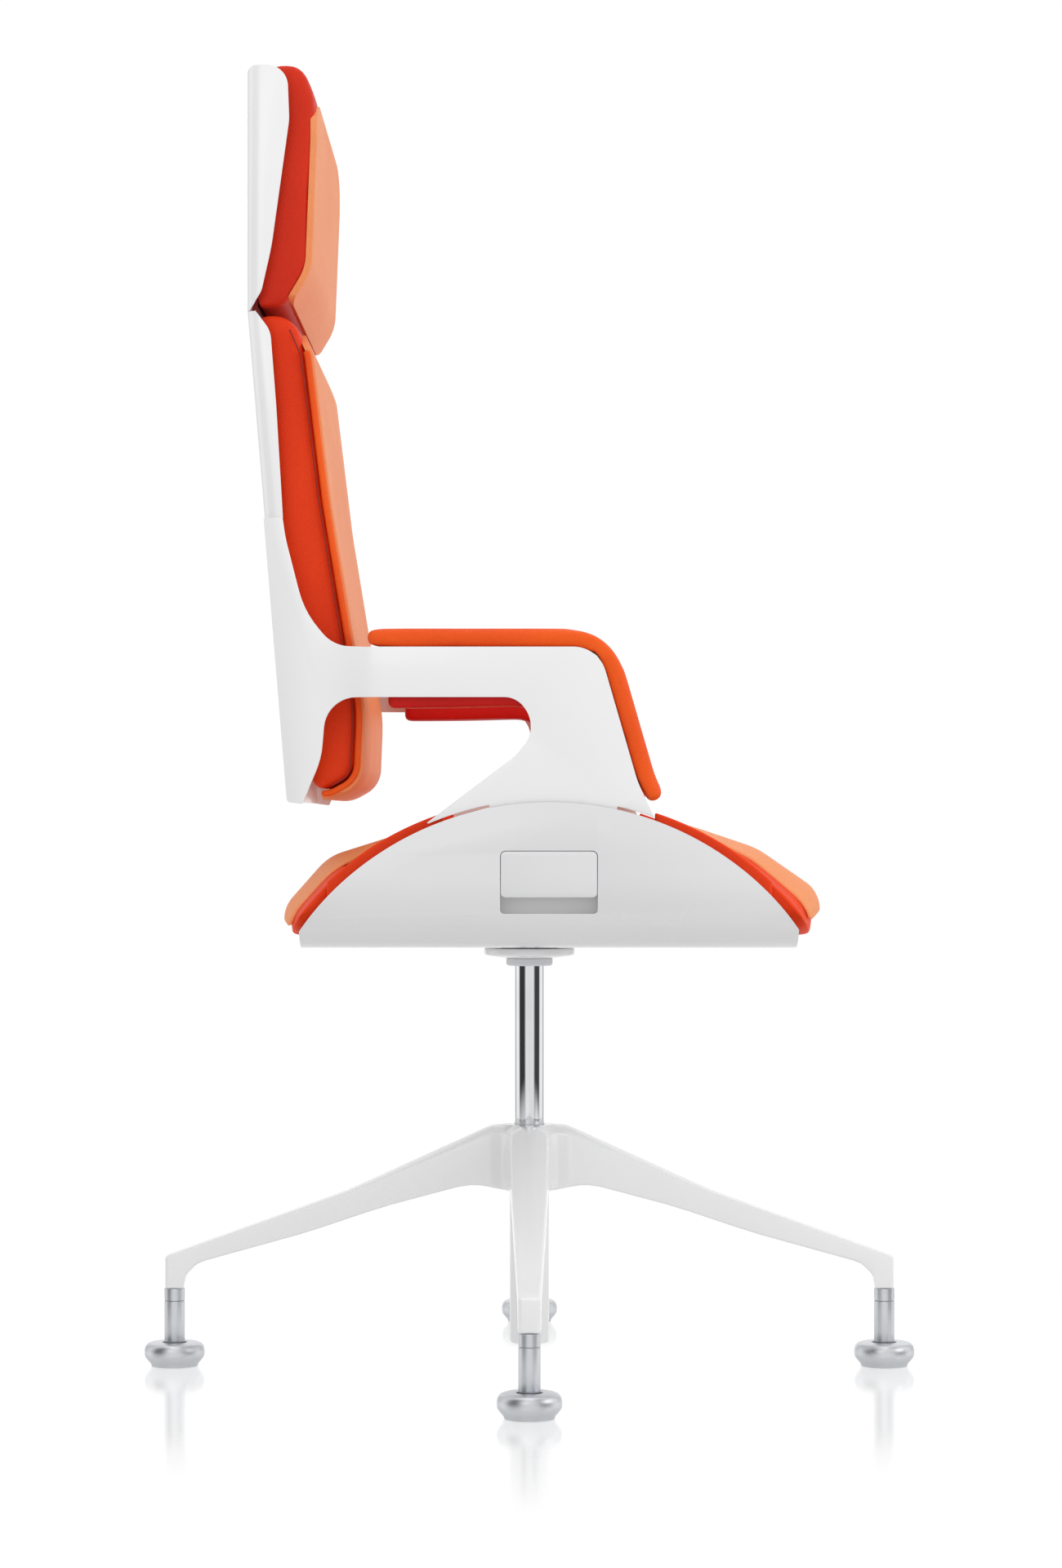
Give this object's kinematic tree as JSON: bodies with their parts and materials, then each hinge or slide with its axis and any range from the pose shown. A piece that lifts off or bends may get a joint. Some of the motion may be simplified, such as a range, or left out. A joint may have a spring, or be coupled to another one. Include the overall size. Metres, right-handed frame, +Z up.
{
  "type": "swivel office chair",
  "caption": "High-backed swivel office chair with headrest, fixed loop armrests, gas lift and a four-star base on levelling glides.",
  "frame": {"origin": "on the floor, on the column's axis", "axes": "+Z up, the chair faces -Y, +X is the sitter's left"},
  "size_m": [0.781, 0.781, 1.274],
  "materials": {
    "white_paint": "gloss",
    "chrome": "polished",
    "satin_steel": "satin",
    "steel": "satin",
    "cast_metal": "matte",
    "grey_plastic": "matte",
    "dark_plastic": "matte",
    "red_leather": "satin",
    "orange_leather": "satin",
    "light_leather": "satin"
  },
  "bodies": {
    "base": {"base_cross": "white_paint", "stand_tube": "white_paint", "guide_bush": "dark_plastic", "thrust_bearing": "steel", "glide_collar_1": "satin_steel", "glide_collar_2": "satin_steel", "glide_collar_3": "satin_steel", "glide_collar_4": "satin_steel"},
    "rod": {"piston_rod": "chrome", "rod_clip": "steel"},
    "carrier": {"gas_cylinder": "chrome", "cylinder_gland": "dark_plastic", "cylinder_collar": "grey_plastic", "flange_plate": "white_paint", "mechanism_housing": "cast_metal", "seat_axle": "steel", "lever_pin": "steel", "torsion_spring_left": "steel", "torsion_spring_right": "steel"},
    "valve": {"valve_button": "steel"},
    "lever": {"release_lever": "cast_metal"},
    "back": {"back_axle": "steel", "arm_left": "white_paint", "arm_right": "white_paint", "arm_lining_left": "red_leather", "arm_lining_right": "red_leather", "arm_pad_left": "orange_leather", "arm_pad_right": "orange_leather", "back_shell": "white_paint", "headrest_shell": "white_paint", "back_board": "dark_plastic", "lumbar_crossbar": "steel", "back_cushion": "orange_leather", "back_panel": "light_leather", "headrest_cushion": "red_leather", "headrest_panel": "light_leather"},
    "seat": {"seat_shell": "white_paint", "seat_pan": "dark_plastic", "seat_bracket_left": "steel", "seat_bracket_right": "steel", "seat_cushion": "orange_leather", "seat_panel": "light_leather", "flap_pocket_left": "grey_plastic", "flap_pocket_right": "grey_plastic", "bracket_bolt_1": "steel", "bracket_bolt_2": "steel", "bracket_bolt_3": "steel", "bracket_bolt_4": "steel"},
    "flap_l": {"flap_left": "white_paint"},
    "flap_r": {"flap_right": "white_paint"},
    "glide_1": {"glide_post_1": "satin_steel", "glide_foot_1": "satin_steel"},
    "glide_2": {"glide_post_2": "satin_steel", "glide_foot_2": "satin_steel"},
    "glide_3": {"glide_post_3": "satin_steel", "glide_foot_3": "satin_steel"},
    "glide_4": {"glide_post_4": "satin_steel", "glide_foot_4": "satin_steel"}
  },
  "joints": [
    {"name": "swivel", "type": "hinge", "parent": "base", "child": "rod", "pos_m": [0, 0, 0.03], "axis": [0, 0, 1], "continuous": true},
    {"name": "seat_height", "type": "slide", "parent": "rod", "child": "carrier", "axis": [0, 0, 1], "range_m": [-0.1, 0]},
    {"name": "back_recline", "type": "hinge", "parent": "carrier", "child": "back", "pos_m": [0, 0.015, 0.48], "axis": [-1, 0, 0], "range_deg": [0, 12], "stiffness_Nm_per_rad": 150, "springref_deg": -20.05},
    {"name": "seat_tilt", "type": "hinge", "parent": "carrier", "child": "seat", "pos_m": [0, -0.03, 0.48], "axis": [-1, 0, 0], "range_deg": [0, 4]},
    {"name": "flap_left_pull", "type": "hinge", "parent": "seat", "child": "flap_l", "pos_m": [0.2865, -0.0184, 0.5225], "axis": [0, -1, 0], "range_deg": [0, 15], "stiffness_Nm_per_rad": 0.5, "springref_deg": -5.73},
    {"name": "flap_right_pull", "type": "hinge", "parent": "seat", "child": "flap_r", "pos_m": [-0.2865, -0.0184, 0.5225], "axis": [0, 1, 0], "range_deg": [0, 15], "stiffness_Nm_per_rad": 0.5, "springref_deg": -5.73},
    {"name": "lever_turn", "type": "hinge", "parent": "carrier", "child": "lever", "pos_m": [0, -0.052, 0.4542], "axis": [-1, 0, 0], "range_deg": [0, 2.5]},
    {"name": "valve_press", "type": "slide", "parent": "carrier", "child": "valve", "axis": [0, 0, -1], "range_m": [0, 0.0025]},
    {"name": "glide_1_screw", "type": "slide", "parent": "base", "child": "glide_1", "axis": [0, 0, -1], "range_m": [0, 0.008]},
    {"name": "glide_2_screw", "type": "slide", "parent": "base", "child": "glide_2", "axis": [0, 0, -1], "range_m": [0, 0.008]},
    {"name": "glide_3_screw", "type": "slide", "parent": "base", "child": "glide_3", "axis": [0, 0, -1], "range_m": [0, 0.008]},
    {"name": "glide_4_screw", "type": "slide", "parent": "base", "child": "glide_4", "axis": [0, 0, -1], "range_m": [0, 0.008]}
  ],
  "couplings": [
    {"joint": "seat_tilt", "follows": "back_recline", "ratio": 0.33333},
    {"joint": "lever_turn", "follows": "flap_right_pull", "ratio": 0.166},
    {"joint": "valve_press", "follows": "flap_right_pull", "m_per_rad": 0.0091}
  ]
}
